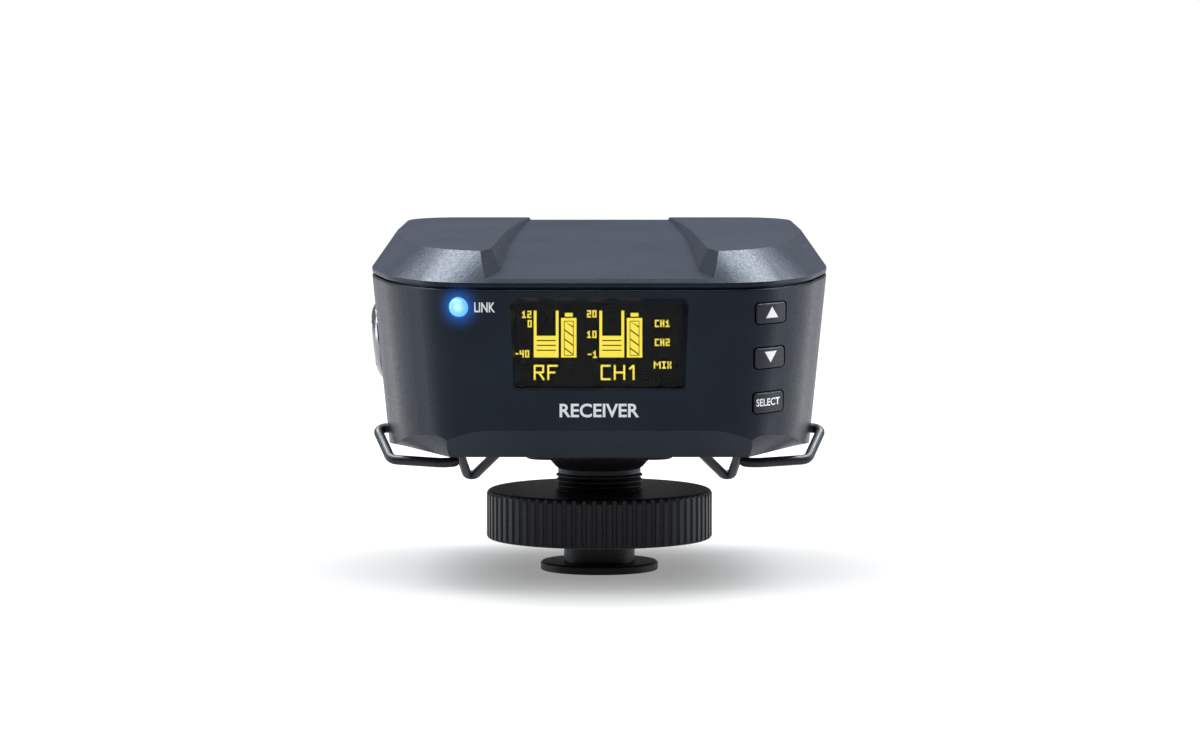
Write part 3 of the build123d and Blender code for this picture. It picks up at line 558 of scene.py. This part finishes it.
def display_picture(materials):
    """Everything lit on the display, as flat quads just in front of the module."""
    lift = 0.05 * MM
    edge = 0.8 * MM  # unlit rim inside the window's outline
    low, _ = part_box("display_panel")
    window_low, window_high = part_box("display_window")
    left, right = window_low.x + edge, window_high.x - edge
    bottom, top = window_low.z + edge, window_high.z - edge
    bars, quads = [], []
    for meter_left, cell_left in zip(METER_LEFTS, CELL_LEFTS):
        bars += meter(meter_left) + cell_frame(cell_left)
        quads += cell_stripes(cell_left)
    for text, column, row in SMALL_TEXTS:
        bars += glyph_bars(text, column, row)
    for text, column, row in BIG_TEXTS:
        quads += big_quads(text, column, row)
    for a, b, c, d in bars:
        quads.append([Vector((a, b)), Vector((c, b)), Vector((c, d)), Vector((a, d))])
    vertices, faces = [], []
    for quad in quads:
        first = len(vertices)
        for point in quad:
            x = left + (right - left) * point.x / COLUMNS
            z = top - (top - bottom) * point.y / ROWS
            vertices.append((x, low.y - lift, z))
        faces.append(tuple(range(first, first + len(quad))))
    mesh_piece("display_picture", vertices, faces, materials["display_glow"], "case")


def mesh_piece(name, vertices, faces, material, body):
    """A piece from vertices and faces, riding on a body."""
    mesh = bpy.data.meshes.new(name)
    mesh.from_pydata(vertices, [], faces)
    mesh.update()
    mesh.materials.append(material)
    piece = add_object(name, mesh)
    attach(piece, body)


# ---------------------------------------------------------------- print
PRINT_LIFT = 0.02 * MM  # the print's height above the surface
PRINT_STEP = 0.25 * MM  # width of the slices that let it follow a curved wall
RAY_START = -0.2  # Y of a plane well in front of the object
SAME_POINT = 1e-7  # distance at which a cut counts as passing through a vertex
FONT_STEPS = 4  # straight steps in each curve of a letter


def print_on(name, flat, node, body, materials):
    """Lays a flat mesh in the XZ plane back onto a node's front face, as pad print."""
    surface = frame["nodes"][node].data
    tree = BVHTree.FromPolygons([v.co for v in surface.vertices], [p.vertices for p in surface.polygons])
    for vertex in flat.vertices:
        start = Vector((vertex.co.x, RAY_START, vertex.co.z))
        hit, _, _, _ = tree.ray_cast(start, Vector((0, 1, 0)))
        vertex.co.y = (hit.y if hit else 0.0) - PRINT_LIFT
    flat.materials.append(materials["print_white"])
    piece = add_object(name, flat)
    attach(piece, body)


def text_mesh(text, centre, height, width, weight):
    """Flat mesh of a word in the XZ plane, fitted to a size and sliced so that it can bend."""
    curve = bpy.data.curves.new("word", "FONT")
    curve.body = text
    curve.align_x = "CENTER"
    curve.align_y = "CENTER"
    curve.offset = weight
    curve.resolution_u = FONT_STEPS
    word = add_object("word", curve)
    bpy.context.view_layer.update()
    mesh = bpy.data.meshes.new_from_object(word)
    bpy.data.objects.remove(word)
    xs = [v.co.x for v in mesh.vertices]
    ys = [v.co.y for v in mesh.vertices]
    scale_x = width / (max(xs) - min(xs))
    scale_z = height / (max(ys) - min(ys))
    middle_x = (max(xs) + min(xs)) / 2
    middle_y = (max(ys) + min(ys)) / 2
    for vertex in mesh.vertices:
        x = centre[0] + (vertex.co.x - middle_x) * scale_x
        z = centre[1] + (vertex.co.y - middle_y) * scale_z
        vertex.co = (x, 0.0, z)
    return slice_upright(mesh)


def triangle_mesh(centre, wide, tall, points_up):
    """Flat triangle in the XZ plane, pointing up or down."""
    x, z = centre
    half, rise = wide / 2, (tall / 2 if points_up else -tall / 2)
    mesh = bpy.data.meshes.new("triangle")
    corners = [(x - half, 0, z - rise), (x + half, 0, z - rise), (x, 0, z + rise)]
    mesh.from_pydata(corners, [], [(0, 1, 2)])
    return slice_upright(mesh)


def slice_upright(mesh):
    """Slices a flat mesh by upright lines, so that it can follow a curved wall."""
    work = bmesh.new()
    work.from_mesh(mesh)
    low = min(v.co.x for v in work.verts)
    high = max(v.co.x for v in work.verts)
    cuts = int((high - low) / PRINT_STEP)
    for index in range(1, cuts + 1):
        everything = work.verts[:] + work.edges[:] + work.faces[:]
        place = (low + index * PRINT_STEP, 0, 0)
        bmesh.ops.bisect_plane(work, geom=everything, plane_co=place, plane_no=(1, 0, 0), dist=SAME_POINT)
    work.to_mesh(mesh)
    work.free()
    return mesh


def key_middle(node):
    """Centre of a key's cap as (x, z), from the left edge of the flange behind it."""
    low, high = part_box(node)
    flange_to_middle = 2.85 * MM
    return low.x + flange_to_middle, (low.z + high.z) / 2


def printed_marks(materials):
    """White print: words on the case and marks on the keys."""
    light = light_centre()
    centre = (light.x + 3.9 * MM, light.z)
    word = text_mesh("LINK", centre, height=1.5 * MM, width=3.1 * MM, weight=0.02)
    print_on("print_link", word, "lower_housing", "case", materials)

    low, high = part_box("display_window")
    centre = ((low.x + high.x) / 2, (low.z + high.z) / 2 - 9.75 * MM)
    word = text_mesh("RECEIVER", centre, height=2.1 * MM, width=11.9 * MM, weight=0.022)
    print_on("print_receiver", word, "lower_housing", "case", materials)

    for node, points_up in (("button_up", True), ("button_down", False)):
        x, z = key_middle(node)
        centre = (x + 0.2 * MM, z + 0.15 * MM)
        mark = triangle_mesh(centre, wide=1.85 * MM, tall=1.7 * MM, points_up=points_up)
        print_on(f"print_{node}", mark, node, f"{node}_cap", materials)

    x, z = key_middle("button_enter")
    word = text_mesh("SELECT", (x, z + 0.1 * MM), height=1.15 * MM, width=3.6 * MM, weight=0.02)
    print_on("print_button_enter", word, "button_enter", "button_enter_cap", materials)


# ---------------------------------------------------------------- floor
FLOOR_RADIUS = 6.0
FLOOR_SEGMENTS = 96
FLOOR_DROP = 0.02 * MM  # below the lowest point of the object
PAINTED_SHADOW_FADE = (0.01, 0.072)  # distances from the middle between which the painted shadow fades and the floor turns to white


def make_floor():
    """Wide disc that is grey under the object, from the real shadow and a painted shadow, and glows white
    away from it.
    """
    material = new_material("floor", {
        "Roughness": 0.9, "Specular IOR Level": 0.1, "Emission Color": (1.0, 1.0, 1.0),
    })
    tree = material.node_tree
    reach = distance_from(tree, (0.0, 0.0, 0.0))
    # painted shadow: the glow drops towards the middle, where a paler base colour catches the real shadow
    for socket, ends in (("Base Color", (0.15, 0.08)), ("Emission Strength", (0.30, 1.0))):
        feed(material, map_range(tree, reach, PAINTED_SHADOW_FADE, ends, smooth=True), socket)
    work = bmesh.new()
    bmesh.ops.create_circle(work, cap_ends=True, segments=FLOOR_SEGMENTS, radius=FLOOR_RADIUS)
    mesh = bpy.data.meshes.new("floor")
    work.to_mesh(mesh)
    work.free()
    mesh.materials.append(material)
    floor = add_object("floor", mesh)
    floor.location.z = cad_box[0].z - FLOOR_DROP


make_camera()
make_lights()
make_world()
make_floor()
MATERIALS = make_materials()
dress_cad(MATERIALS)
display_picture(MATERIALS)
printed_marks(MATERIALS)

scene = bpy.context.scene
scene.view_settings.view_transform = "Standard"
